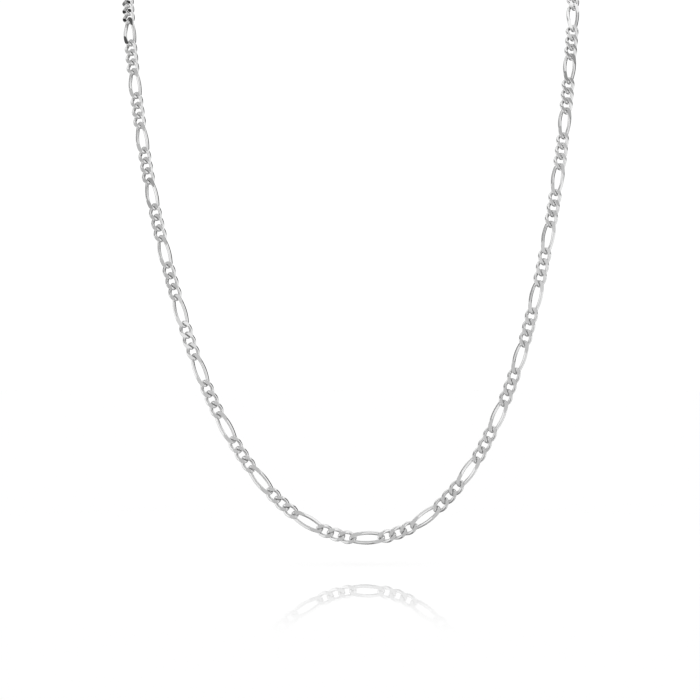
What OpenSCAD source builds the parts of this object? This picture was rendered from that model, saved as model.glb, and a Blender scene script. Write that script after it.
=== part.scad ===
// Figaro chain necklace, closed at the nape by a plain clasp and two jump rings.
// The whole loop keeps the form in which it hangs. Millimetres, +Z up, the wearer
// faces -Y, and the origin lies on the neck's axis where the sides of the loop bear.

/* [Wire] */
// Thickness of the wire that the links are bent from
wire_d = 0.76; // [0.7:0.02:0.78]
// Free space between two linked wires
running_gap = 0.2; // [0.18:0.02:0.3]

/* [Links] */
// Width across a link
chain_w = 3.1; // [3.05:0.05:3.6]
// Thickness of the chain between its two ground faces
chain_t = 1.3; // [1.2:0.05:2]
// How much wider a link is at its middle than at its rounded ends, on each side
side_bow = 0.13; // [0.08:0.01:0.18]
// Twist of a link from its middle to either end, in degrees
link_twist = 48; // [46:1:52]
// Open window that shows in a short link between its two neighbours
short_window = 0.98; // [0.9:0.05:1.6]
// Open window that shows in a long link between its two neighbours
long_window = 4.92; // [3:0.1:8]

/* [Pattern] */
// Short links in the run between two long ones
short_run = 3; // [1:1:5]
// Long links in the whole necklace
long_count = 32; // [26:1:36]

/* [Clasp] */
// Diameter of the clasp's round loop over all
clasp_w = 7; // [6:0.5:10]
// Thickness of the clasp's loop
clasp_d = 1.3; // [1.1:0.05:1.4]
// Opening of the eye beside the loop
eye_in = 1.7; // [1.6:0.1:2.2]
// Thickness of the eye
eye_d = 0.8; // [0.7:0.05:0.9]
// Opening of the two jump rings
ring_in = 2.9; // [2.7:0.1:3.6]
// Thickness of the jump rings' wire
ring_d = 0.7; // [0.6:0.05:0.75]
// Lean of the jump rings from edge on towards the end links, in degrees
ring_lean = 24; // [18:1:30]

/* [Hidden] */

// The loop as it hangs, seen from above going left from the nape, down the left side of
// the chest, along the lowest point and up the right side. Each row holds x, y, z and the
// turn of the chain's outer face from straight ahead, in degrees.
ROUTE = [
    [-0.5, 39.6, 31.5, -179],
    [-16, 38.1, 30, -160],
    [-29.5, 33.6, 27, -143],
    [-40.5, 26.1, 22.5, -122],
    [-48.2, 17.1, 16.2, -98],
    [-53, 7.5, 7.5, -70],
    [-54.1, -1.9, -2, -40],
    [-53.4, -9.7, -11.4, -19],
    [-51.9, -16.6, -23.6, -15],
    [-50, -22.7, -36.5, -15],
    [-47.6, -28.2, -50, -13],
    [-44.5, -32.8, -63.9, -10],
    [-40.7, -36.2, -78.1, -7],
    [-36.1, -38.2, -92.4, -4],
    [-30.1, -39.3, -106.3, -1],
    [-22, -39.9, -119.1, 0],
    [-16.6, -40.1, -125.2, 0],
    [-10.8, -40.2, -129.8, 0],
    [-3.9, -40.3, -132.9, 0],
    [3.4, -40.3, -134.2, 0],
    [10.7, -40.2, -132.8, 0],
    [17.7, -40, -129.1, 0],
    [23.2, -39.8, -123.9, 0],
    [28, -39.4, -117.8, 0],
    [35, -38.6, -104.3, 0],
    [40.1, -37.4, -90.2, 1],
    [43.9, -35.2, -75.6, 2],
    [46.9, -31.8, -61.2, 3],
    [49.3, -27.1, -47.2, 5],
    [51.1, -21.7, -33.9, 7],
    [52.5, -15.8, -21, 9],
    [53.7, -8.8, -8.7, 13],
    [53.9, 0.9, 2.1, 31],
    [52, 10.9, 11.5, 58],
    [46.2, 20.6, 19, 86],
    [37.6, 28.4, 24.5, 112],
    [26.8, 34.3, 28.4, 137],
    [13.6, 38.5, 30.8, 160]
];
TURN = 3;
// Points that the smooth route has between two rows
route_steps = 12;

// Corners of the wire's section, and its steps round each end and along each side
wire_sides = 5;
end_steps = 4;
side_steps = 2;
link_rings = 2 * (end_steps + side_steps);
ring_smooth = 48;
// How far the clasp's eye is let into its loop where it is soldered
eye_seat = 0.2;

// Each piece takes up its own pitch of the route, from one joint to the next
short_pitch = short_window + 2 * wire_d + running_gap;
long_pitch = long_window + 2 * wire_d + running_gap;
ring_pitch = ring_in - running_gap;
clasp_pitch = clasp_w + eye_in - eye_seat - clasp_d - running_gap;

run_links = short_run + 1;
repeat_l = short_run * short_pitch + long_pitch;
link_count = long_count * run_links + short_run;
// The long link that hangs lowest starts the right half
lowest_link = floor(long_count / 2) * run_links + short_run;
chain_l = long_count * repeat_l + short_run * short_pitch;
necklace_l = chain_l + clasp_pitch + 2 * ring_pitch;

// A link's half width and the radius of its ends, both to the middle of the wire
link_b = (chain_w - wire_d) / 2;
link_end_r = link_b - side_bow;

function unit(v) = v / norm(v);
function place_of(row) = [row.x, row.y, row.z];

// Smooth closed curve through the rows, whose turn grows by a full circle each time round
rows = len(ROUTE);
function row(i) = ROUTE[(i + rows) % rows] + [0, 0, 0, 360 * floor(i / rows)];
function span(i) = norm(place_of(row(i + 1) - row(i)));
function heading(i) =
    let (before = span(i - 1), after = span(i))
    ((row(i) - row(i - 1)) * after / before + (row(i + 1) - row(i)) * before / after)
    / (before + after);
function along(i, t) =
    row(i) * (1 + 2 * t) * pow(1 - t, 2)
    + row(i + 1) * t * t * (3 - 2 * t)
    + heading(i) * span(i) * t * pow(1 - t, 2)
    - heading(i + 1) * span(i) * t * t * (1 - t);

curve = [
    for (i = [0 : rows - 1], j = [0 : route_steps - 1]) along(i, j / route_steps),
    row(rows)
];
travelled = [
    for (i = 0, s = 0; i < len(curve);
         s = s + (i + 1 < len(curve) ? norm(place_of(curve[i + 1] - curve[i])) : 0), i = i + 1) s
];
drawn_l = travelled[len(travelled) - 1];
// The drawn form is kept, and sized so that the whole necklace just fills it
fill = necklace_l / drawn_l;

function table(column) = [for (i = [0 : len(curve) - 1]) [travelled[i], curve[i][column]]];
tables = [for (column = [0 : TURN]) table(column)];
function read(column, s) = lookup(s / fill, tables[column]);
function route_at(s) = fill * [read(0, s), read(1, s), read(2, s)];

// Where a piece lies that fills the route from s to s + pitch: its middle, and its length,
// width and thickness directions, the last one away from the body
function seat(s, pitch) =
    let (
        start = route_at(s),
        end = route_at(s + pitch),
        turn = read(TURN, s + pitch / 2),
        x = unit(end - start),
        out = [sin(turn), -cos(turn), 0],
        z = unit(out - (out * x) * x)
    )
    [(start + end) / 2, x, cross(z, x), z];
function seated(p, at) = at[0] + at[1] * p.x + at[2] * p.y + at[3] * p.z;

// Flat oval of four arcs at a link's half length a: x, y and the outward direction there
function arc_stations(cx, cy, r, from, to, steps) =
    [for (j = [0 : steps - 1]) let (t = from + (to - from) * j / steps)
        [cx + r * cos(t), cy + r * sin(t), cos(t), sin(t)]];
function oval_stations(a) =
    let (
        reach = a - link_end_r,
        side_r = (reach * reach + link_b * link_b - link_end_r * link_end_r)
            / (2 * side_bow),
        shoulder = atan2(side_r - link_b, reach)
    )
    concat(
        arc_stations(reach, 0, link_end_r, -shoulder, shoulder, end_steps),
        arc_stations(0, link_b - side_r, side_r, shoulder, 180 - shoulder, side_steps),
        arc_stations(-reach, 0, link_end_r, 180 - shoulder, 180 + shoulder, end_steps),
        arc_stations(0, side_r - link_b, side_r, 180 + shoulder, 360 - shoulder, side_steps)
    );

function turned(p, t) = [p.x, p.y * cos(t) - p.z * sin(t), p.y * sin(t) + p.z * cos(t)];
function ground(p) = [p.x, p.y, max(-chain_t / 2, min(chain_t / 2, p.z))];

// Section of the wire at one station of a twisted link, ground flat where it stands proud
function section(station, a) =
    let (
        twist_rate = -link_twist / a,
        out = [station[2], station[3], 0],
        rise = -station.y * station[3] * twist_rate * PI / 180,
        across = cross(unit([-station[3], station[2], rise]), out)
    )
    [for (k = [0 : wire_sides - 1]) let (f = 360 * k / wire_sides)
        ground(turned([station.x, station.y, 0] + wire_d / 2 * (cos(f) * out + sin(f) * across),
                      twist_rate * station.x))];
function link_points(pitch) =
    let (a = (pitch + running_gap + wire_d) / 2)
    [for (station = oval_stations(a)) each section(station, a)];

short_link = link_points(short_pitch);
long_link = link_points(long_pitch);
link_size = link_rings * wire_sides;
function corner(ring, side) = (ring % link_rings) * wire_sides + side % wire_sides;
link_faces = [
    for (ring = [0 : link_rings - 1], side = [0 : wire_sides - 1]) each [
        [corner(ring, side), corner(ring + 1, side + 1), corner(ring, side + 1)],
        [corner(ring, side), corner(ring + 1, side), corner(ring + 1, side + 1)]
    ]
];

function is_long(i) = i % run_links == short_run;
function link_start(i) = floor(i / run_links) * repeat_l + (i % run_links) * short_pitch;
function hung_link(i) =
    let (
        pitch = is_long(i) ? long_pitch : short_pitch,
        at = seat(link_start(i), pitch)
    )
    [for (p = is_long(i) ? long_link : short_link) seated(p, at)];

// Separate links from first to last, each one passing through the next
module links(first, last) {
    polyhedron(
        points = [for (i = [first : last]) each hung_link(i)],
        faces = [for (i = [first : last]) each
            [for (face = link_faces) face + (i - first) * link_size * [1, 1, 1]]]
    );
}

// Puts a child that lies along X with its middle at the origin on the route
module on_route(s, pitch) {
    at = seat(s, pitch);
    multmatrix([for (k = [0 : 2]) [at[1][k], at[2][k], at[3][k], at[0][k]]]) children();
}

module torus(mean_r, d) {
    rotate_extrude($fn = ring_smooth) translate([mean_r, 0]) circle(d = d, $fn = ring_smooth);
}

// The rings stand nearly edge on, each one leaning to suit the end link that it holds
module jump_ring(lean) {
    rotate([90 + lean, 0, 0]) torus((ring_in + ring_d) / 2, ring_d);
}

// Plain bolt ring: a round loop with an eye soldered to its side
module bolt_ring() {
    torus((clasp_w - clasp_d) / 2, clasp_d);
    translate([eye_seat - (clasp_w + eye_in) / 2, 0, 0]) torus((eye_in + eye_d) / 2, eye_d);
}

module chain_left() {
    color("silver") links(0, lowest_link - 1);
}

module chain_right() {
    color("silver") links(lowest_link, link_count - 1);
}

module ring_right() {
    color("lightgray") on_route(chain_l, ring_pitch) jump_ring(-ring_lean);
}

// The eye holds the right ring, and the loop holds the left one
module clasp() {
    color("gainsboro") on_route(chain_l + ring_pitch, clasp_pitch)
        translate([(clasp_d + eye_in - eye_seat) / 2, 0, 0]) bolt_ring();
}

module ring_left() {
    color("lightgray") on_route(necklace_l - ring_pitch, ring_pitch) jump_ring(ring_lean);
}

chain_left();
chain_right();
ring_left();
ring_right();
clasp();
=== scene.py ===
"""A figaro chain necklace in polished sterling silver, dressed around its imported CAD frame."""

import logging
import math
from dataclasses import dataclass, field
from enum import Enum
from typing import Any

import bpy
import numpy as np
from mathutils import Matrix, Vector


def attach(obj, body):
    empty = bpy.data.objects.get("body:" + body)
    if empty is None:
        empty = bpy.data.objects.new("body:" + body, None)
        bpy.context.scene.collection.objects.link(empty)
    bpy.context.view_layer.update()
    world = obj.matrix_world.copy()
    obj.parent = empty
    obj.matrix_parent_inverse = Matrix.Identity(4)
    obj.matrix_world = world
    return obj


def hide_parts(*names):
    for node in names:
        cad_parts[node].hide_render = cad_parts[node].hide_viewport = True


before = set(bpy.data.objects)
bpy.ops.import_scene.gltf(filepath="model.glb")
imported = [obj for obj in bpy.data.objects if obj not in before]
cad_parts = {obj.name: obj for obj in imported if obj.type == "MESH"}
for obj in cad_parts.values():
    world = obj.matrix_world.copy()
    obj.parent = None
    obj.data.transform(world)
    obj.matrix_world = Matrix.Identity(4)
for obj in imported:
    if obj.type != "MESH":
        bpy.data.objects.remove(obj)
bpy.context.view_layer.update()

MM = 0.001
BODY = "root"
log = logging.getLogger("figaro_chain")

# The loop as it hangs, from the nape down the left side of the chest, along the lowest
# point and up the right side: x, y, z in millimetres and the turn of the chain's outer
# face from straight ahead, in degrees. These are the rows that the solids follow, let in
# by up to 0.2 mm at the widest, lowest and highest of them, so that the full round wire
# keeps to their box.
ROUTE_ROWS = (
    (-0.5, 39.6, 31.46, -179), (-16, 38.1, 30, -160), (-29.5, 33.6, 27, -143),
    (-40.5, 26.1, 22.5, -122), (-48.2, 17.1, 16.2, -98), (-52.88, 7.5, 7.5, -70),
    (-53.9, -1.9, -2, -40), (-53.32, -9.7, -11.4, -19), (-51.9, -16.6, -23.6, -15),
    (-50, -22.7, -36.5, -15), (-47.6, -28.2, -50, -13), (-44.5, -32.8, -63.9, -10),
    (-40.7, -36.2, -78.1, -7), (-36.1, -38.2, -92.4, -4), (-30.1, -39.3, -106.3, -1),
    (-22, -39.9, -119.1, 0), (-16.6, -40.1, -125.2, 0), (-10.8, -40.11, -129.8, 0),
    (-3.9, -40.2, -132.9, 0), (3.4, -40.2, -134.08, 0), (10.7, -40.11, -132.8, 0),
    (17.7, -40, -129.1, 0), (23.2, -39.8, -123.9, 0), (28, -39.4, -117.8, 0),
    (35, -38.6, -104.3, 0), (40.1, -37.4, -90.2, 1), (43.9, -35.2, -75.6, 2),
    (46.9, -31.8, -61.2, 3), (49.3, -27.1, -47.2, 5), (51.1, -21.7, -33.9, 7),
    (52.5, -15.8, -21, 9), (53.62, -8.8, -8.7, 13), (53.72, 0.9, 2.1, 31),
    (51.88, 10.9, 11.5, 58), (46.2, 20.6, 19, 86), (37.6, 28.4, 24.5, 112),
    (26.8, 34.3, 28.4, 137), (13.6, 38.5, 30.8, 160),
)


def linear(hex_colour: str) -> tuple[float, float, float, float]:
    """Turn an sRGB hex colour into Blender's linear one.

    Args:
        hex_colour: Six hex digits, with or without a leading mark.

    Returns:
        Linear red, green and blue, and full opacity.
    """
    digits = hex_colour.lstrip("#")
    parts = [int(digits[i:i + 2], 16) / 255 for i in (0, 2, 4)]
    toned = [c / 12.92 if c <= 0.04045 else ((c + 0.055) / 1.055) ** 2.4 for c in parts]
    return (*toned, 1.0)


def per_metre(size_mm: float) -> float:
    """Scale of a pattern whose features are that many millimetres across."""
    return 1 / (size_mm * MM)


def add_node(tree: bpy.types.NodeTree, kind: str, inputs: dict[int | str, Any] | None = None,
             **settings: Any) -> bpy.types.Node:
    """Add one node to a tree, with its own settings and its inputs filled or linked.

    Args:
        tree: The tree that gets the node.
        kind: Blender's identifier of the node.
        inputs: What goes into each input, by its name or its number: a value, a socket,
            a node whose first output is taken, or a list of these for an input of many.
        settings: Settings of the node itself.

    Returns:
        The new node.
    """
    node = tree.nodes.new(kind)
    for name, value in settings.items():
        setattr(node, name, value)
    for key, value in (inputs or {}).items():
        if isinstance(key, int):
            socket = node.inputs[key]
        else:
            socket = next(s for s in node.inputs if s.name == key and s.enabled)
        for part in value if socket.is_multi_input else [value]:
            if isinstance(part, bpy.types.Node):
                part = part.outputs[0]
            if isinstance(part, bpy.types.NodeSocket):
                tree.links.new(part, socket)
            else:
                socket.default_value = part
    return node


def new_tree(name: str, inputs: dict[str, str]) -> tuple[bpy.types.NodeTree, bpy.types.Node]:
    """Start a geometry tree with named inputs and one geometry output.

    Args:
        name: The tree's name.
        inputs: Socket type of each named input.

    Returns:
        The tree and its input node.
    """
    tree = bpy.data.node_groups.new(name, "GeometryNodeTree")
    for label, kind in inputs.items():
        tree.interface.new_socket(label, in_out="INPUT", socket_type=f"NodeSocket{kind}")
    tree.interface.new_socket("Geometry", in_out="OUTPUT", socket_type="NodeSocketGeometry")
    return tree, add_node(tree, "NodeGroupInput")


def grow(name: str, start: bpy.types.Mesh, tree: bpy.types.NodeTree,
         values: dict[str, Any]) -> bpy.types.Object:
    """Run a geometry tree on a mesh once, and keep its result as a plain mesh.

    Args:
        name: Name of the finished piece.
        start: The mesh that the tree starts from.
        tree: The geometry tree.
        values: What goes into each of the tree's named inputs.

    Returns:
        The piece, at the origin, without its modifier.
    """
    piece = bpy.data.objects.new(name, start)
    bpy.context.scene.collection.objects.link(piece)
    modifier = piece.modifiers.new(tree.name, "NODES")
    modifier.node_group = tree
    for item in tree.interface.items_tree:
        if item.in_out == "INPUT" and item.name in values:
            modifier[item.identifier] = values[item.name]
    graph = bpy.context.evaluated_depsgraph_get()
    mesh = bpy.data.meshes.new_from_object(
        piece.evaluated_get(graph), preserve_all_data_layers=True, depsgraph=graph)
    piece.modifiers.clear()
    piece.data = mesh
    mesh.name = name
    return piece


@dataclass(frozen=True)
class LinkShape:
    """One curb link: a flat oval of four arcs, twisted end to end and ground on both faces.

    The wire is round here and 0.08 mm thicker than the solids' five-sided one, and the
    chain 0.15 mm thicker between its ground faces, so that the flats are small and crisp.
    """

    pitch: float
    play: float
    wire: float = 0.84
    width: float = 3.14
    thickness: float = 1.45
    bow: float = 0.13
    twist: float = 48.0
    end_steps: int = 10
    side_steps: int = 5
    wire_sides: int = 18

    @property
    def half_length(self) -> float:
        """From the link's middle to the middle of the wire at its tip."""
        return (self.pitch + self.play + self.wire) / 2

    @property
    def half_width(self) -> float:
        """From the link's middle to the middle of the wire at its side."""
        return (self.width - self.wire) / 2

    @property
    def end_radius(self) -> float:
        """Radius of the rounded ends, to the middle of the wire."""
        return self.half_width - self.bow

    @property
    def reach(self) -> float:
        """From the link's middle to the centre of a rounded end."""
        return self.half_length - self.end_radius

    @property
    def side_radius(self) -> float:
        """Radius of the slack arcs along both sides."""
        return (self.reach ** 2 + self.half_width ** 2 - self.end_radius ** 2) / (2 * self.bow)

    @property
    def shoulder(self) -> float:
        """Angle at which an end's arc passes into a side's arc."""
        return math.atan2(self.side_radius - self.half_width, self.reach)

    def sizes(self) -> dict[str, float | int]:
        """Collect what the link tree needs to know of this link.

        Returns:
            The link's sizes by the names of the tree's inputs, lengths in metres.
        """
        return {
            "Reach": self.reach * MM,
            "End radius": self.end_radius * MM,
            "Side radius": self.side_radius * MM,
            "Side offset": (self.half_width - self.side_radius) * MM,
            "Shoulder": self.shoulder,
            "Half length": self.half_length * MM,
            "Wire": self.wire * MM,
            "Thickness": self.thickness * MM,
            "Twist": math.radians(self.twist),
            "End steps": self.end_steps,
            "Side steps": self.side_steps,
            "Wire sides": self.wire_sides,
        }


# Points of the oval closer than this, in millimetres, are the shared ends of two arcs.
ARC_WELD = 0.002
# The grinding slab's sides as a multiple of the link's half length: well clear of it.
SLAB_REACH = 4.0
# Part of the thickness, from the middle, past which a point lies on a ground face.
FLAT_LEVEL = 0.4995


def link_tree() -> bpy.types.NodeTree:
    """Geometry of one curb link: bent to an oval, twisted, swept round and ground flat.

    Returns:
        The tree, whose inputs are the sizes of a link.
    """
    tree, given = new_tree("Ground curb link", {
        "Reach": "Float", "End radius": "Float", "Side radius": "Float", "Side offset": "Float",
        "Shoulder": "Float", "Half length": "Float", "Wire": "Float", "Thickness": "Float",
        "Twist": "Float", "End steps": "Int", "Side steps": "Int", "Wire sides": "Int"})
    size = given.outputs
    # The oval: an end's arc and a side's arc, and both once more turned half round.
    back = add_node(tree, "ShaderNodeMath", {0: size["Shoulder"], 1: -1.0}, operation="MULTIPLY")
    sweep = add_node(tree, "ShaderNodeMath", {0: size["Shoulder"], 1: 2.0}, operation="MULTIPLY")
    rest = add_node(tree, "ShaderNodeMath", {0: math.pi, 1: sweep}, operation="SUBTRACT")
    arcs = []
    for steps, radius, start, turn, shift in (
            ("End steps", "End radius", back, sweep, "Reach"),
            ("Side steps", "Side radius", size["Shoulder"], rest, "Side offset")):
        points = add_node(tree, "ShaderNodeMath", {0: size[steps], 1: 1.0}, operation="ADD")
        arc = add_node(tree, "GeometryNodeCurveArc", {
            "Resolution": points, "Radius": size[radius], "Start Angle": start,
            "Sweep Angle": turn})
        place = add_node(tree, "ShaderNodeCombineXYZ",
                         {"X" if shift == "Reach" else "Y": size[shift]})
        arcs.append(add_node(tree, "GeometryNodeTransform",
                             {"Geometry": arc, "Translation": place}))
    half = add_node(tree, "GeometryNodeJoinGeometry", {0: arcs})
    other = add_node(tree, "GeometryNodeTransform",
                     {"Geometry": half, "Rotation": (0, 0, math.pi)})
    pieces = add_node(tree, "GeometryNodeJoinGeometry", {0: [half, other]})
    edges = add_node(tree, "GeometryNodeCurveToMesh", {"Curve": pieces})
    closed = add_node(tree, "GeometryNodeMergeByDistance",
                      {"Geometry": edges, "Distance": ARC_WELD * MM})
    oval = add_node(tree, "GeometryNodeMeshToCurve", {"Mesh": closed})

    # The twist: each point turns about the link's length, by its share of the half length.
    position = add_node(tree, "GeometryNodeInputPosition")
    axes = add_node(tree, "ShaderNodeSeparateXYZ", {0: position})
    share = add_node(tree, "ShaderNodeMath", {0: axes.outputs["X"], 1: size["Half length"]},
                     operation="DIVIDE")
    angle = add_node(tree, "ShaderNodeMath", {0: share, 1: size["Twist"]}, operation="MULTIPLY")
    angle = add_node(tree, "ShaderNodeMath", {0: angle, 1: -1.0}, operation="MULTIPLY")
    turned = add_node(tree, "ShaderNodeVectorRotate", {"Vector": position, "Angle": angle},
                      rotation_type="X_AXIS")
    twisted = add_node(tree, "GeometryNodeSetPosition", {"Geometry": oval, "Position": turned})

    # The wire swept round it, and ground: only what lies within a slab is left.
    radius = add_node(tree, "ShaderNodeMath", {0: size["Wire"], 1: 0.5}, operation="MULTIPLY")
    section = add_node(tree, "GeometryNodeCurvePrimitiveCircle",
                       {"Resolution": size["Wire sides"], "Radius": radius})
    wire = add_node(tree, "GeometryNodeCurveToMesh",
                    {"Curve": twisted, "Profile Curve": section})
    room = add_node(tree, "ShaderNodeMath", {0: size["Half length"], 1: SLAB_REACH},
                    operation="MULTIPLY")
    slab_size = add_node(tree, "ShaderNodeCombineXYZ",
                         {"X": room, "Y": room, "Z": size["Thickness"]})
    slab = add_node(tree, "GeometryNodeMeshCube", {"Size": slab_size})
    ground = add_node(tree, "GeometryNodeMeshBoolean", {1: [wire, slab]},
                      operation="INTERSECT", solver="EXACT")

    # The flats are marked for the finish, and their rims stay crisp.
    height = add_node(tree, "ShaderNodeMath", {0: axes.outputs["Z"]}, operation="ABSOLUTE")
    level = add_node(tree, "ShaderNodeMath", {0: size["Thickness"], 1: FLAT_LEVEL},
                     operation="MULTIPLY")
    on_flat = add_node(tree, "ShaderNodeMath", {0: height, 1: level}, operation="GREATER_THAN")
    on_flat = add_node(tree, "GeometryNodeFieldOnDomain", {"Value": on_flat},
                       data_type="FLOAT", domain="FACE")
    # Read on an edge, that is 1 within a flat, 0 on the wire and a half on the rim.
    rim = add_node(tree, "ShaderNodeMath", {0: on_flat, 1: 0.5, 2: 0.25}, operation="COMPARE")
    smooth = add_node(tree, "GeometryNodeSetShadeSmooth", {"Geometry": ground})
    shaded = add_node(tree, "GeometryNodeSetShadeSmooth",
                      {"Geometry": smooth, "Selection": rim, "Shade Smooth": False},
                      domain="EDGE")
    marked = add_node(tree, "GeometryNodeStoreNamedAttribute",
                      {"Geometry": shaded, "Name": "ground", "Value": on_flat},
                      data_type="FLOAT", domain="FACE")
    add_node(tree, "NodeGroupOutput", {0: marked})
    return tree


def figaro_tree(link: bpy.types.NodeTree, short: LinkShape,
                long: LinkShape) -> bpy.types.NodeTree:
    """Geometry that hangs short and long links in turn along the route.

    Args:
        link: The tree that makes one link.
        short: The short link.
        long: The long link.

    Returns:
        The tree, whose geometry input is the route as a line of edges.
    """
    tree, given = new_tree("Figaro run", {
        "Geometry": "Geometry", "First link": "Int", "Links": "Int", "Short run": "Int",
        "Short pitch": "Float", "Long pitch": "Float", "Sway": "Float", "Seed": "Int",
        "Metal": "Material"})
    size = given.outputs
    route = add_node(tree, "GeometryNodeMeshToCurve", {"Mesh": size["Geometry"]})
    points = add_node(tree, "GeometryNodePoints", {"Count": size["Links"]})

    # Which link of the pattern each point is, and how far along the route it starts and ends.
    index = add_node(tree, "GeometryNodeInputIndex")
    number = add_node(tree, "ShaderNodeMath", {0: index, 1: size["First link"]}, operation="ADD")
    run = add_node(tree, "ShaderNodeMath", {0: size["Short run"], 1: 1.0}, operation="ADD")
    repeats = add_node(tree, "ShaderNodeMath", {0: number, 1: run}, operation="DIVIDE")
    repeats = add_node(tree, "ShaderNodeMath", {0: repeats}, operation="FLOOR")
    before = add_node(tree, "ShaderNodeMath", {0: repeats, 1: run}, operation="MULTIPLY")
    within = add_node(tree, "ShaderNodeMath", {0: number, 1: before}, operation="SUBTRACT")
    is_long = add_node(tree, "ShaderNodeMath", {0: within, 1: size["Short run"], 2: 0.5},
                       operation="COMPARE")
    is_short = add_node(tree, "ShaderNodeMath", {0: 1.0, 1: is_long}, operation="SUBTRACT")
    repeat = add_node(tree, "ShaderNodeMath",
                      {0: size["Short run"], 1: size["Short pitch"], 2: size["Long pitch"]},
                      operation="MULTIPLY_ADD")
    in_run = add_node(tree, "ShaderNodeMath", {0: within, 1: size["Short pitch"]},
                      operation="MULTIPLY")
    start = add_node(tree, "ShaderNodeMath", {0: repeats, 1: repeat, 2: in_run},
                     operation="MULTIPLY_ADD")
    pitch = add_node(tree, "GeometryNodeSwitch",
                     {"Switch": is_long, "False": size["Short pitch"],
                      "True": size["Long pitch"]}, input_type="FLOAT")
    end = add_node(tree, "ShaderNodeMath", {0: start, 1: pitch}, operation="ADD")
    middle = add_node(tree, "ShaderNodeMath", {0: pitch, 1: 0.5, 2: start},
                      operation="MULTIPLY_ADD")

    # Halfway between those two places, lengthwise along them, its outer face as the route's.
    turn = add_node(tree, "GeometryNodeInputNamedAttribute", {"Name": "turn"}, data_type="FLOAT")
    at = [add_node(tree, "GeometryNodeSampleCurve",
                   {"Curves": route, "Value": turn, "Length": length},
                   mode="LENGTH", data_type="FLOAT").outputs
          for length in (start, middle, end)]
    along = add_node(tree, "ShaderNodeVectorMath", {0: at[2]["Position"], 1: at[0]["Position"]},
                     operation="SUBTRACT")
    centre = add_node(tree, "ShaderNodeMix",
                      {"Factor": 0.5, "A": at[0]["Position"], "B": at[2]["Position"]},
                      data_type="VECTOR")
    facing = [add_node(tree, "ShaderNodeMath", {0: at[1]["Value"]}, operation=part)
              for part in ("SINE", "COSINE")]
    away = add_node(tree, "ShaderNodeMath", {0: facing[1], 1: -1.0}, operation="MULTIPLY")
    outward = add_node(tree, "ShaderNodeCombineXYZ", {"X": facing[0], "Y": away})
    hung = add_node(tree, "FunctionNodeAxesToRotation",
                    {"Primary Axis": along, "Secondary Axis": outward},
                    primary_axis="X", secondary_axis="Z")
    # A small sway of its own, and a tone of its own for the wear.
    low = add_node(tree, "ShaderNodeMath", {0: size["Sway"], 1: -1.0}, operation="MULTIPLY")
    roll = add_node(tree, "FunctionNodeRandomValue",
                    {"Min": low, "Max": size["Sway"], "ID": number, "Seed": size["Seed"]},
                    data_type="FLOAT")
    lean = add_node(tree, "FunctionNodeAxisAngleToRotation",
                    {"Axis": (1, 0, 0), "Angle": roll.outputs[1]})
    swayed = add_node(tree, "FunctionNodeRotateRotation",
                      {"Rotation": hung, "Rotate By": lean}, rotation_space="LOCAL")
    tone = add_node(tree, "FunctionNodeRandomValue",
                    {"ID": number, "Seed": size["Seed"]}, data_type="FLOAT")

    hangers = add_node(tree, "GeometryNodeSetPosition",
                       {"Geometry": points, "Position": centre.outputs[1]})
    hangers = add_node(tree, "GeometryNodeStoreNamedAttribute",
                       {"Geometry": hangers, "Name": "tone", "Value": tone.outputs[1]},
                       data_type="FLOAT", domain="POINT")
    hung_links = []
    for shape, chosen in ((short, is_short), (long, is_long)):
        made = add_node(tree, "GeometryNodeGroup", node_tree=link)
        for name, value in shape.sizes().items():
            made.inputs[name].default_value = value
        hung_links.append(add_node(tree, "GeometryNodeInstanceOnPoints", {
            "Points": hangers, "Selection": chosen, "Instance": made, "Rotation": swayed}))
    together = add_node(tree, "GeometryNodeJoinGeometry", {0: hung_links})
    real = add_node(tree, "GeometryNodeRealizeInstances", {0: together})
    dressed = add_node(tree, "GeometryNodeSetMaterial",
                       {"Geometry": real, "Material": size["Metal"]})
    add_node(tree, "NodeGroupOutput", {0: dressed})
    return tree


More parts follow.
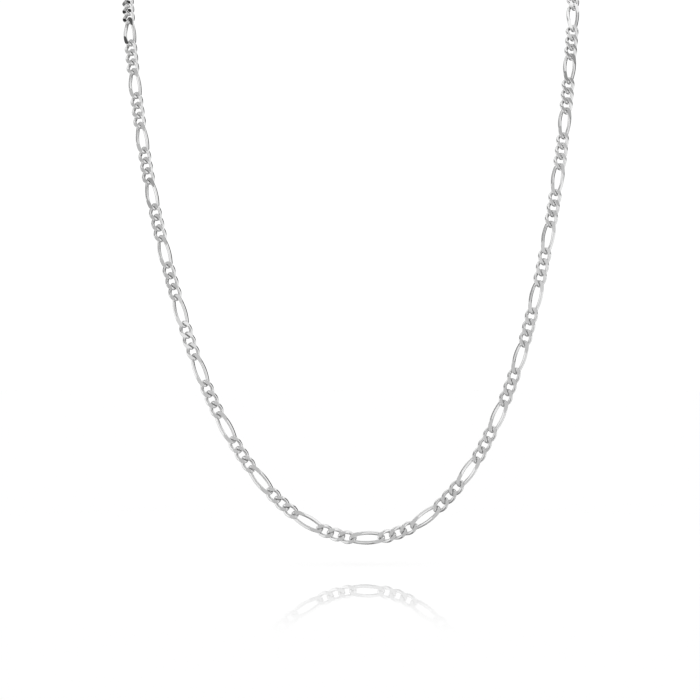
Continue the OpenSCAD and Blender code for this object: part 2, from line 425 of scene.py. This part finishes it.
@dataclass(frozen=True)
class SilverFinish:
    """Sterling silver as one piece of the necklace is finished.

    The polished alloy is a bright neutral grey. Bent and tumbled wire keeps a fine haze, and
    faces that were ground and polished reflect almost as a mirror. Wear clouds the tone over
    a few millimetres, a little more on some links than on others.
    """

    name: str
    bright: str
    worn: str
    roughness: float
    ground_roughness: float
    haze_mm: float
    haze_depth: float
    haze_low: float = 0.3
    haze_high: float = 0.7
    smoothest: float = 0.8
    roughest: float = 1.25
    relief: float = 0.35
    cloud_mm: float = 2.2
    link_wear: float = 0.35
    wear_from: float = 0.35

    def material(self) -> bpy.types.Material:
        """Build the finish as a node material.

        Returns:
            The material, which reads Object coordinates and the links' attributes.
        """
        metal = bpy.data.materials.new(self.name)
        metal.use_nodes = True
        tree = metal.node_tree
        tree.nodes.clear()
        place = add_node(tree, "ShaderNodeTexCoord").outputs["Object"]
        clouds = add_node(tree, "ShaderNodeTexNoise",
                          {"Vector": place, "Scale": per_metre(self.cloud_mm),
                           "Detail": 3.0, "Roughness": 0.55})
        haze = add_node(tree, "ShaderNodeTexNoise",
                        {"Vector": place, "Scale": per_metre(self.haze_mm),
                         "Detail": 2.0, "Roughness": 0.6})
        tone = add_node(tree, "ShaderNodeAttribute", attribute_name="tone")
        mix = add_node(tree, "ShaderNodeMath",
                       {0: tone.outputs["Fac"], 1: self.link_wear, 2: clouds.outputs["Fac"]},
                       operation="MULTIPLY_ADD")
        wear = add_node(tree, "ShaderNodeMapRange",
                        {"Value": mix, "From Min": self.wear_from, "From Max": 1.0,
                         "To Min": 0.0, "To Max": 1.0}, clamp=True)
        colour = add_node(tree, "ShaderNodeMix",
                          {"Factor": wear.outputs[0], "A": linear(self.bright),
                           "B": linear(self.worn)}, data_type="RGBA")
        rough = add_node(tree, "ShaderNodeMapRange",
                         {"Value": haze.outputs["Fac"], "From Min": self.haze_low,
                          "From Max": self.haze_high,
                          "To Min": self.roughness * self.smoothest,
                          "To Max": self.roughness * self.roughest})
        ground = add_node(tree, "ShaderNodeAttribute", attribute_name="ground")
        rough = add_node(tree, "ShaderNodeMix",
                         {"Factor": ground.outputs["Fac"], "A": rough.outputs[0],
                          "B": self.ground_roughness}, data_type="FLOAT")
        bump = add_node(tree, "ShaderNodeBump",
                        {"Height": haze.outputs["Fac"], "Strength": self.relief,
                         "Distance": self.haze_depth * MM})
        surface = add_node(tree, "ShaderNodeBsdfPrincipled",
                           {"Base Color": colour.outputs[2], "Metallic": 1.0,
                            "Roughness": rough.outputs[0], "Normal": bump})
        add_node(tree, "ShaderNodeOutputMaterial", {"Surface": surface})
        return metal


# Links: ground and polished after they are joined, so their flats are brighter mirrors
# than the tumbled wire around them.
LINK_SILVER = SilverFinish("polished_sterling_silver_links", "#EEEEEE", "#DFDFDF",
                           roughness=0.12, ground_roughness=0.06, haze_mm=0.12,
                           haze_depth=0.002)
# Findings: cast or bent and tumbled only, so they stay a little softer.
FINDING_SILVER = SilverFinish("tumbled_sterling_silver_findings", "#E9E9E9", "#D7D7D7",
                              roughness=0.22, ground_roughness=0.22, haze_mm=0.16,
                              haze_depth=0.004)


@dataclass
class Route:
    """The smooth closed line that the necklace hangs along, in metres.

    It is drawn through the rows as the solids' route is, and sized to a real length.
    """

    length: float
    steps: int = 12
    points: np.ndarray = field(init=False)
    travelled: np.ndarray = field(init=False)

    def __post_init__(self) -> None:
        """Draw the curve through the rows and size it."""
        rows = np.array(ROUTE_ROWS, float)
        count = len(rows)
        lap = np.array([0, 0, 0, 360.0])
        wrapped = np.array([rows[i % count] + lap * (i // count) for i in range(-1, count + 2)])
        spans = np.linalg.norm(np.diff(wrapped[:, :3], axis=0), axis=1)
        moves = np.diff(wrapped, axis=0)
        drawn = []
        for i in range(1, count + 1):
            before, span, after = spans[i - 1:i + 2]
            start = (moves[i - 1] * span / before + moves[i] * before / span) / (before + span)
            end = (moves[i] * after / span + moves[i + 1] * span / after) / (span + after)
            for j in range(self.steps):
                t = j / self.steps
                drawn.append(wrapped[i] * (1 + 2 * t) * (1 - t) ** 2
                             + wrapped[i + 1] * t * t * (3 - 2 * t)
                             + start * span * t * (1 - t) ** 2
                             - end * span * t * t * (1 - t))
        drawn.append(wrapped[count + 1])
        curve = np.array(drawn)
        gone = np.concatenate(
            [[0], np.cumsum(np.linalg.norm(np.diff(curve[:, :3], axis=0), axis=1))])
        curve[:, :3] *= self.length / gone[-1]
        self.points = curve
        self.travelled = gone * self.length / gone[-1]

    def at(self, distance: float) -> np.ndarray:
        """Place and turn of the route at a distance from its start, all in metres."""
        return np.array([np.interp(distance, self.travelled, self.points[:, k])
                         for k in range(4)])

    def seat(self, start: float, pitch: float) -> Matrix:
        """Where a piece lies that fills one pitch of the route.

        Args:
            start: Distance along the route where the piece begins.
            pitch: How much of the route it fills.

        Returns:
            The matrix from the piece's own axes to the necklace's.
        """
        first, last = self.at(start), self.at(start + pitch)
        turn = math.radians(self.at(start + pitch / 2)[3])
        x = Vector(last[:3] - first[:3]).normalized()
        out = Vector((math.sin(turn), -math.cos(turn), 0))
        z = (out - out.dot(x) * x).normalized()
        axes = Matrix((x, z.cross(x), z)).transposed().to_4x4()
        axes.translation = Vector((first[:3] + last[:3]) / 2)
        return axes

    def line(self) -> bpy.types.Mesh:
        """Draw the route for the geometry trees to follow.

        Returns:
            A line of edges, with the turn of the chain's outer face on its points.
        """
        mesh = bpy.data.meshes.new("route")
        edges = [(i, i + 1) for i in range(len(self.points) - 1)]
        mesh.from_pydata(self.points[:, :3].tolist(), edges, [])
        turn = mesh.attributes.new("turn", "FLOAT", "POINT")
        turn.data.foreach_set("value", np.radians(self.points[:, 3]).astype(np.float32))
        return mesh


@dataclass
class FigaroChain:
    """All the links of the necklace, in two runs that part at the lowest link."""

    short_pitch: float = 2.7
    long_pitch: float = 6.64
    short_run: int = 3
    long_count: int = 32
    play: float = 0.06
    sway: float = 0.8
    seed: int = 7

    @property
    def links(self) -> int:
        """Links in the whole necklace."""
        return self.long_count * (self.short_run + 1) + self.short_run

    @property
    def lowest(self) -> int:
        """Number of the long link that hangs lowest."""
        return self.long_count // 2 * (self.short_run + 1) + self.short_run

    @property
    def length(self) -> float:
        """Length of the chain along the route."""
        repeat = self.short_run * self.short_pitch + self.long_pitch
        return self.long_count * repeat + self.short_run * self.short_pitch

    def build(self, route: Route, metal: bpy.types.Material) -> list[bpy.types.Object]:
        """Make both runs of links and put them in the place of their solids.

        Args:
            route: The line that they hang along.
            metal: The links' material.

        Returns:
            The two finished pieces.
        """
        short = LinkShape(self.short_pitch, self.play)
        long = LinkShape(self.long_pitch, self.play, side_steps=9)
        tree = figaro_tree(link_tree(), short, long)
        made = []
        for name, node, first, count in (
                ("left_links", "chain_left", 0, self.lowest),
                ("right_links", "chain_right", self.lowest, self.links - self.lowest)):
            piece = grow(name, route.line(), tree, {
                "First link": first, "Links": count, "Short run": self.short_run,
                "Short pitch": self.short_pitch * MM, "Long pitch": self.long_pitch * MM,
                "Sway": math.radians(self.sway), "Seed": self.seed, "Metal": metal})
            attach(piece, BODY)
            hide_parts(node)
            made.append(piece)
        return made


@dataclass(frozen=True)
class RingShape:
    """One closed ring of round wire, with the hairline where its ends were soldered."""

    opening: float
    wire: float
    seam_width: float = 0.07
    seam_depth: float = 0.025
    crowding: float = 0.9
    steps: int = 120
    wire_sides: int = 24

    @property
    def radius(self) -> float:
        """From the ring's centre to the middle of its wire."""
        return (self.opening + self.wire) / 2

    def sizes(self) -> dict[str, float | int]:
        """Collect what the ring tree needs to know of this ring.

        Returns:
            The ring's sizes by the names of the tree's inputs, lengths in metres.
        """
        return {
            "Radius": self.radius * MM,
            "Wire": self.wire * MM,
            "Seam width": self.seam_width * MM,
            "Seam depth": self.seam_depth * MM,
            "Crowding": self.crowding,
            "Steps": self.steps,
            "Wire sides": self.wire_sides,
        }


def ring_tree() -> bpy.types.NodeTree:
    """Geometry of one ring, whose points crowd together at the seam on its own X axis.

    Returns:
        The tree, whose inputs are the sizes of a ring.
    """
    tree, given = new_tree("Soldered ring", {
        "Radius": "Float", "Wire": "Float", "Seam width": "Float", "Seam depth": "Float",
        "Crowding": "Float", "Steps": "Int", "Wire sides": "Int"})
    size = given.outputs
    # Points round the circle, drawn together at the seam by a sine.
    circle = add_node(tree, "GeometryNodeCurvePrimitiveCircle",
                      {"Resolution": size["Steps"], "Radius": size["Radius"]})
    share = add_node(tree, "GeometryNodeSplineParameter")
    lap = add_node(tree, "ShaderNodeMath", {0: share, 1: math.tau}, operation="MULTIPLY")
    wave = add_node(tree, "ShaderNodeMath", {0: lap}, operation="SINE")
    pull = add_node(tree, "ShaderNodeMath", {0: wave, 1: size["Crowding"]}, operation="MULTIPLY")
    angle = add_node(tree, "ShaderNodeMath", {0: lap, 1: pull}, operation="SUBTRACT")
    place = add_node(tree, "ShaderNodeCombineXYZ", {"X": size["Radius"]})
    place = add_node(tree, "ShaderNodeVectorRotate", {"Vector": place, "Angle": angle},
                     rotation_type="Z_AXIS")
    bent = add_node(tree, "GeometryNodeSetPosition", {"Geometry": circle, "Position": place})

    # The wire swept round it, a little thinner close to the seam.
    half = add_node(tree, "ShaderNodeMath", {0: angle, 1: 0.5}, operation="MULTIPLY")
    chord = add_node(tree, "ShaderNodeMath", {0: half}, operation="SINE")
    chord = add_node(tree, "ShaderNodeMath", {0: chord}, operation="ABSOLUTE")
    chord = add_node(tree, "ShaderNodeMath", {0: chord, 1: size["Radius"]}, operation="MULTIPLY")
    radius = add_node(tree, "ShaderNodeMath", {0: size["Wire"], 1: 0.5}, operation="MULTIPLY")
    dip = add_node(tree, "ShaderNodeMath", {0: size["Seam depth"], 1: radius},
                   operation="DIVIDE")
    thin = add_node(tree, "ShaderNodeMath", {0: 1.0, 1: dip}, operation="SUBTRACT")
    # The chord above is half the way to the seam, so half of the seam's half width is its end.
    reach = add_node(tree, "ShaderNodeMath", {0: size["Seam width"], 1: 0.25},
                     operation="MULTIPLY")
    swell = add_node(tree, "ShaderNodeMapRange",
                     {"Value": chord, "From Min": 0.0, "From Max": reach, "To Min": thin,
                      "To Max": 1.0}, interpolation_type="SMOOTHSTEP")
    section = add_node(tree, "GeometryNodeCurvePrimitiveCircle",
                       {"Resolution": size["Wire sides"], "Radius": radius})
    wire = add_node(tree, "GeometryNodeCurveToMesh",
                    {"Curve": bent, "Profile Curve": section, "Scale": swell})
    smooth = add_node(tree, "GeometryNodeSetShadeSmooth", {"Geometry": wire})
    add_node(tree, "NodeGroupOutput", {0: smooth})
    return tree


def add_ring(tree: bpy.types.NodeTree, ring: bpy.types.NodeTree,
             shape: RingShape) -> bpy.types.Node:
    """Add one ring to a tree.

    Args:
        tree: The tree that gets the ring.
        ring: The tree that makes one ring.
        shape: The ring's shape.

    Returns:
        The node that gives the ring's geometry.
    """
    made = add_node(tree, "GeometryNodeGroup", node_tree=ring)
    for name, value in shape.sizes().items():
        made.inputs[name].default_value = value
    return made


def jump_ring_tree(ring: bpy.types.NodeTree, shape: RingShape) -> bpy.types.NodeTree:
    """Geometry of a jump ring with its metal.

    Args:
        ring: The tree that makes one ring.
        shape: The jump ring's shape.

    Returns:
        The tree.
    """
    tree, given = new_tree("Jump ring", {"Geometry": "Geometry", "Metal": "Material"})
    real = add_node(tree, "GeometryNodeRealizeInstances", {0: add_ring(tree, ring, shape)})
    dressed = add_node(tree, "GeometryNodeSetMaterial",
                       {"Geometry": real, "Material": given.outputs["Metal"]})
    add_node(tree, "NodeGroupOutput", {0: dressed})
    return tree


@dataclass(frozen=True)
class BoltRingShape:
    """The clasp: a plain round loop and an eye let into its side, each with its own wire."""

    loop: RingShape = RingShape(opening=4.4, wire=1.3, steps=160, wire_sides=32)
    eye: RingShape = RingShape(opening=1.7, wire=0.8)
    let_in: float = 0.2
    collar: float = 0.49
    collar_half: float = 0.26
    collar_sides: int = 32
    collar_rings: int = 20
    crease: float = 35.0

    @property
    def width(self) -> float:
        """Diameter of the loop over all."""
        return self.loop.opening + 2 * self.loop.wire

    @property
    def eye_x(self) -> float:
        """Where the eye's centre lies on the line through both."""
        return self.let_in - (self.width + self.eye.opening) / 2

    @property
    def middle(self) -> float:
        """From the middle of the clasp's pitch to the loop's centre."""
        return (self.loop.wire + self.eye.opening - self.let_in) / 2

    @property
    def collar_turn(self) -> float:
        """Angle on the eye at which its wire comes out of the loop."""
        edge = self.width / 2
        return math.acos((edge ** 2 - self.eye_x ** 2 - self.eye.radius ** 2)
                         / (2 * self.eye_x * self.eye.radius))


def bolt_ring_tree(ring: bpy.types.NodeTree, shape: BoltRingShape) -> bpy.types.NodeTree:
    """Geometry of the clasp, whose eye grows out of two small collars of solder.

    Args:
        ring: The tree that makes one ring.
        shape: The clasp's shape.

    Returns:
        The tree.
    """
    tree, given = new_tree("Bolt ring", {"Geometry": "Geometry", "Metal": "Material"})
    loop = add_node(tree, "GeometryNodeTransform",
                    {"Geometry": add_ring(tree, ring, shape.loop), "Rotation": (0, 0, math.pi)})
    eye = add_node(tree, "GeometryNodeTransform",
                   {"Geometry": add_ring(tree, ring, shape.eye),
                    "Translation": (shape.eye_x * MM, 0, 0)})
    drop = add_node(tree, "GeometryNodeMeshUVSphere",
                    {"Segments": shape.collar_sides, "Rings": shape.collar_rings,
                     "Radius": shape.collar * MM})
    drop = add_node(tree, "GeometryNodeTransform",
                    {"Geometry": drop, "Translation": (shape.eye.radius * MM, 0, 0),
                     "Scale": (1, shape.collar_half / shape.collar, 1)})
    collars = [add_node(tree, "GeometryNodeTransform",
                        {"Geometry": drop, "Translation": (shape.eye_x * MM, 0, 0),
                         "Rotation": (0, 0, side * shape.collar_turn)}) for side in (-1, 1)]
    joined = add_node(tree, "GeometryNodeMeshBoolean", {1: [loop, eye, *collars]},
                      operation="UNION", solver="EXACT")
    bend = add_node(tree, "GeometryNodeInputMeshEdgeAngle")
    crisp = add_node(tree, "FunctionNodeCompare", {0: bend, 1: math.radians(shape.crease)},
                     data_type="FLOAT", operation="GREATER_THAN")
    smooth = add_node(tree, "GeometryNodeSetShadeSmooth", {"Geometry": joined})
    shaded = add_node(tree, "GeometryNodeSetShadeSmooth",
                      {"Geometry": smooth, "Selection": crisp, "Shade Smooth": False},
                      domain="EDGE")
    real = add_node(tree, "GeometryNodeRealizeInstances", {0: shaded})
    dressed = add_node(tree, "GeometryNodeSetMaterial",
                       {"Geometry": real, "Material": given.outputs["Metal"]})
    add_node(tree, "NodeGroupOutput", {0: dressed})
    return tree


@dataclass
class Closure:
    """What closes the necklace at the nape: two jump rings and a plain bolt ring."""

    ring: RingShape = RingShape(opening=2.9, wire=0.68)
    clasp: BoltRingShape = BoltRingShape()
    slack: float = 0.2
    lean: float = 24.0

    @property
    def ring_pitch(self) -> float:
        """How much of the route a jump ring fills."""
        return self.ring.opening - self.slack

    @property
    def clasp_pitch(self) -> float:
        """How much of the route the clasp fills."""
        clasp = self.clasp
        return clasp.width + clasp.eye.opening - clasp.let_in - clasp.loop.wire - self.slack

    @property
    def length(self) -> float:
        """How much of the route all three pieces fill."""
        return self.clasp_pitch + 2 * self.ring_pitch

    def build(self, route: Route, start: float,
              metal: bpy.types.Material) -> list[bpy.types.Object]:
        """Make the three pieces and put them in the place of their solids.

        Args:
            route: The line that they hang along.
            start: Distance along the route where the chain ends, in millimetres.
            metal: The pieces' material.

        Returns:
            The three finished pieces.
        """
        ring = ring_tree()
        jump, bolt = jump_ring_tree(ring, self.ring), bolt_ring_tree(ring, self.clasp)
        on_edge = {side: Matrix.Rotation(math.radians(90 + side * self.lean), 4, "X")
                   for side in (-1, 1)}
        beside = Matrix.Translation((self.clasp.middle * MM, 0, 0))
        made = []
        for name, node, tree, at, pitch, own in (
                ("right_jump_ring", "ring_right", jump, start, self.ring_pitch, on_edge[-1]),
                ("bolt_ring", "clasp", bolt, start + self.ring_pitch, self.clasp_pitch, beside),
                ("left_jump_ring", "ring_left", jump, start + self.ring_pitch + self.clasp_pitch,
                 self.ring_pitch, on_edge[1])):
            piece = grow(name, bpy.data.meshes.new(name), tree, {"Metal": metal})
            piece.data.transform(route.seat(at * MM, pitch * MM) @ own)
            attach(piece, BODY)
            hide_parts(node)
            made.append(piece)
        return made


@dataclass(frozen=True)
class SoftField:
    """A soft oval field of light or shade round the object, its angles in degrees.

    Azimuth 0 is behind the camera and grows to the picture's right.
    """

    azimuth: float
    elevation: float
    half_width: float
    half_height: float
    light: float


class Card(Enum):
    """The fields that the metal reflects, by what each of them tones."""

    # Behind the camera: the ground flats of the lowest links.
    FRONT = SoftField(0, -2, 26, 22, -0.47)
    # Above on the left, in a row that sinks to the front: the left side's ground flats.
    LEFT_FLATS = SoftField(-54, 41, 22, 18, -0.57)
    LEFT_SLOPE = SoftField(-24, 28, 19, 20, -0.54)
    # Above the camera: a line along the upper edge of every wire.
    TOP_FRONT = SoftField(0, 64, 36, 24, -0.55)
    # Above on the right, sinking to the front too: the right side's ground flats.
    RIGHT_FLATS = SoftField(32, 43, 21, 18, -0.47)
    RIGHT_SLOPE = SoftField(12, 24, 18, 16, -0.36)
    # Pale floor on both sides: lightens the wires where links cross.
    LOW_LEFT = SoftField(-95, -52, 38, 30, 0.6)
    LOW_RIGHT = SoftField(85, -52, 38, 30, 0.5)
    # Far wall and the right side: dark rims, which part the wires from the white floor.
    BEHIND = SoftField(180, 0, 60, 60, -0.8)
    DARK_SIDE = SoftField(104, 16, 54, 24, -1.1)
    # Unlit corner far left: the nearly black flats where the chain leaves the picture.
    CORNER_DARK = SoftField(-97, 42, 27, 22, -1.1)


# Light that the metal meets at each elevation, in degrees, before the fields are added.
LIGHT_BY_ELEVATION = (
    (-90, 0.3), (-70, 0.2), (-50, 0.3), (-30, 0.8), (-10, 1.08),
    (10, 1.13), (30, 1.13), (50, 1.14), (70, 1.12), (90, 1.05),
)


@dataclass
class Studio:
    """Plain pale floor, soft light all round and the camera at the photograph's angle.

    Lengths are in metres, but for the camera's sensor and lens, in millimetres.
    """

    floor_z: float = -0.140
    floor_side: float = 8.0
    polish: float = 0.57
    polish_near: float = 0.17
    polish_far: float = 0.31
    lacquer_ior: float = 1.45
    camera_place: tuple[float, float, float] = (-0.0001, -0.970, -0.0900)
    sensor: float = 36.0
    lens: float = 205.1
    card_core: float = 0.55
    darkest: float = 0.02
    brightest: float = 1.2
    white: float = 1.05

    def world(self) -> None:
        """White surroundings, with soft fields for the metal to reflect."""
        world = bpy.data.worlds.new("studio")
        bpy.context.scene.world = world
        world.use_nodes = True
        tree = world.node_tree
        tree.nodes.clear()
        looking = add_node(tree, "ShaderNodeTexCoord").outputs["Generated"]
        # The same light all round at one elevation.
        level = add_node(tree, "ShaderNodeSeparateXYZ", {0: looking}).outputs["Z"]
        level = add_node(tree, "ShaderNodeMapRange", {"Value": level, "From Min": -1.0})
        ring = add_node(tree, "ShaderNodeValToRGB", {"Fac": level})
        stops = ring.color_ramp.elements
        for number, (elevation, light) in enumerate(LIGHT_BY_ELEVATION):
            spot = (math.sin(math.radians(elevation)) + 1) / 2
            stop = stops[number] if number < len(stops) else stops.new(spot)
            stop.position, stop.color = spot, (light, light, light, 1)
        # Each field is full within its core and fades to its rim, on its own side alone.
        total: Any = ring
        for card in Card:
            soft = card.value
            turned = add_node(tree, "ShaderNodeMapping", {
                "Vector": looking,
                "Rotation": (-math.radians(soft.elevation), 0, math.radians(soft.azimuth)),
                "Scale": (math.sin(math.radians(soft.half_width)), 1,
                          math.sin(math.radians(soft.half_height)))},
                vector_type="TEXTURE")
            flat = add_node(tree, "ShaderNodeVectorMath", {0: turned, 1: (1, 0, 1)},
                            operation="MULTIPLY")
            off = add_node(tree, "ShaderNodeVectorMath", {0: flat}, operation="LENGTH")
            glow = add_node(tree, "ShaderNodeMapRange",
                            {"Value": off.outputs["Value"], "From Min": 1.0,
                             "From Max": self.card_core, "To Min": 0.0, "To Max": soft.light},
                            interpolation_type="SMOOTHSTEP")
            ahead = add_node(tree, "ShaderNodeSeparateXYZ", {0: turned}).outputs["Y"]
            ahead = add_node(tree, "ShaderNodeMath", {0: ahead, 1: 0.0}, operation="LESS_THAN")
            glow = add_node(tree, "ShaderNodeMath", {0: glow, 1: ahead}, operation="MULTIPLY")
            total = add_node(tree, "ShaderNodeMath", {0: total, 1: glow}, operation="ADD")
        total = add_node(tree, "ShaderNodeMath", {0: total, 1: self.darkest},
                         operation="MAXIMUM")
        total = add_node(tree, "ShaderNodeMath", {0: total, 1: self.brightest},
                         operation="MINIMUM")
        fields = add_node(tree, "ShaderNodeBackground",
                          {"Color": (1, 1, 1, 1), "Strength": total})
        white = add_node(tree, "ShaderNodeBackground",
                         {"Color": (1, 1, 1, 1), "Strength": self.white})
        # Only the metal reflects the fields. The floor's polish, a perfect mirror, and
        # everything matt meet plain white.
        path = add_node(tree, "ShaderNodeLightPath")
        metal_sees = add_node(tree, "ShaderNodeMath", {0: path.outputs["Is Glossy Ray"],
                                                       1: path.outputs["Is Singular Ray"]},
                              operation="SUBTRACT", use_clamp=True)
        seen = add_node(tree, "ShaderNodeMixShader", {0: metal_sees, 1: white, 2: fields})
        add_node(tree, "ShaderNodeOutputWorld", {"Surface": seen})

    def floor(self) -> None:
        """Large pale floor with a faint polish, in which the lowest links show again."""
        half = self.floor_side / 2
        mesh = bpy.data.meshes.new("studio_floor")
        corners = [(-half, -half), (half, -half), (half, half), (-half, half)]
        mesh.from_pydata([(x, y, self.floor_z) for x, y in corners], [], [(0, 1, 2, 3)])
        floor = bpy.data.objects.new("studio_floor", mesh)
        bpy.context.scene.collection.objects.link(floor)
        paint = bpy.data.materials.new("white_lacquered_board")
        paint.use_nodes = True
        tree = paint.node_tree
        tree.nodes.clear()
        matt = add_node(tree, "ShaderNodeBsdfDiffuse", {"Color": linear("#FAFAFA")})
        gloss = add_node(tree, "ShaderNodeBsdfAnisotropic",
                         {"Color": linear("#FFFFFF"), "Roughness": 0.0})
        place = add_node(tree, "ShaderNodeTexCoord")
        away = add_node(tree, "ShaderNodeVectorMath", {0: place.outputs["Object"]},
                        operation="LENGTH")
        patch = add_node(tree, "ShaderNodeMapRange",
                         {"Value": away.outputs["Value"], "From Min": self.polish_near,
                          "From Max": self.polish_far, "To Min": self.polish, "To Max": 0.0},
                         interpolation_type="SMOOTHSTEP")
        edge_on = add_node(tree, "ShaderNodeFresnel", {"IOR": self.lacquer_ior})
        share = add_node(tree, "ShaderNodeMath", {0: patch, 1: edge_on}, operation="MULTIPLY")
        mixed = add_node(tree, "ShaderNodeMixShader", {0: share, 1: matt, 2: gloss})
        # The metal looks through the floor, at the light that is set for each elevation.
        clear = add_node(tree, "ShaderNodeBsdfTransparent")
        path = add_node(tree, "ShaderNodeLightPath")
        seen = add_node(tree, "ShaderNodeMixShader",
                        {0: path.outputs["Is Glossy Ray"], 1: mixed, 2: clear})
        add_node(tree, "ShaderNodeOutputMaterial", {"Surface": seen})
        mesh.materials.append(paint)

    def camera(self) -> None:
        """Level camera in front of the chest, on the photograph's line of sight."""
        data = bpy.data.cameras.new("camera")
        data.sensor_width = self.sensor
        data.lens = self.lens
        camera = bpy.data.objects.new("camera", data)
        camera.location = self.camera_place
        camera.rotation_euler = (math.pi / 2, 0, 0)
        bpy.context.scene.collection.objects.link(camera)
        bpy.context.scene.camera = camera

    def build(self) -> None:
        """Set up everything around the object."""
        self.world()
        self.floor()
        self.camera()
        bpy.context.scene.view_settings.view_transform = "Standard"


def main() -> None:
    """Build the studio and the necklace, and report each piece."""
    logging.basicConfig(level=logging.INFO, format="%(name)s: %(message)s")
    Studio().build()
    chain, closure = FigaroChain(), Closure()
    route = Route((chain.length + closure.length) * MM)
    pieces = chain.build(route, LINK_SILVER.material())
    pieces += closure.build(route, chain.length, FINDING_SILVER.material())
    for piece in pieces:
        log.info("%s: %d faces", piece.name, len(piece.data.polygons))


if __name__ == "__main__":
    main()
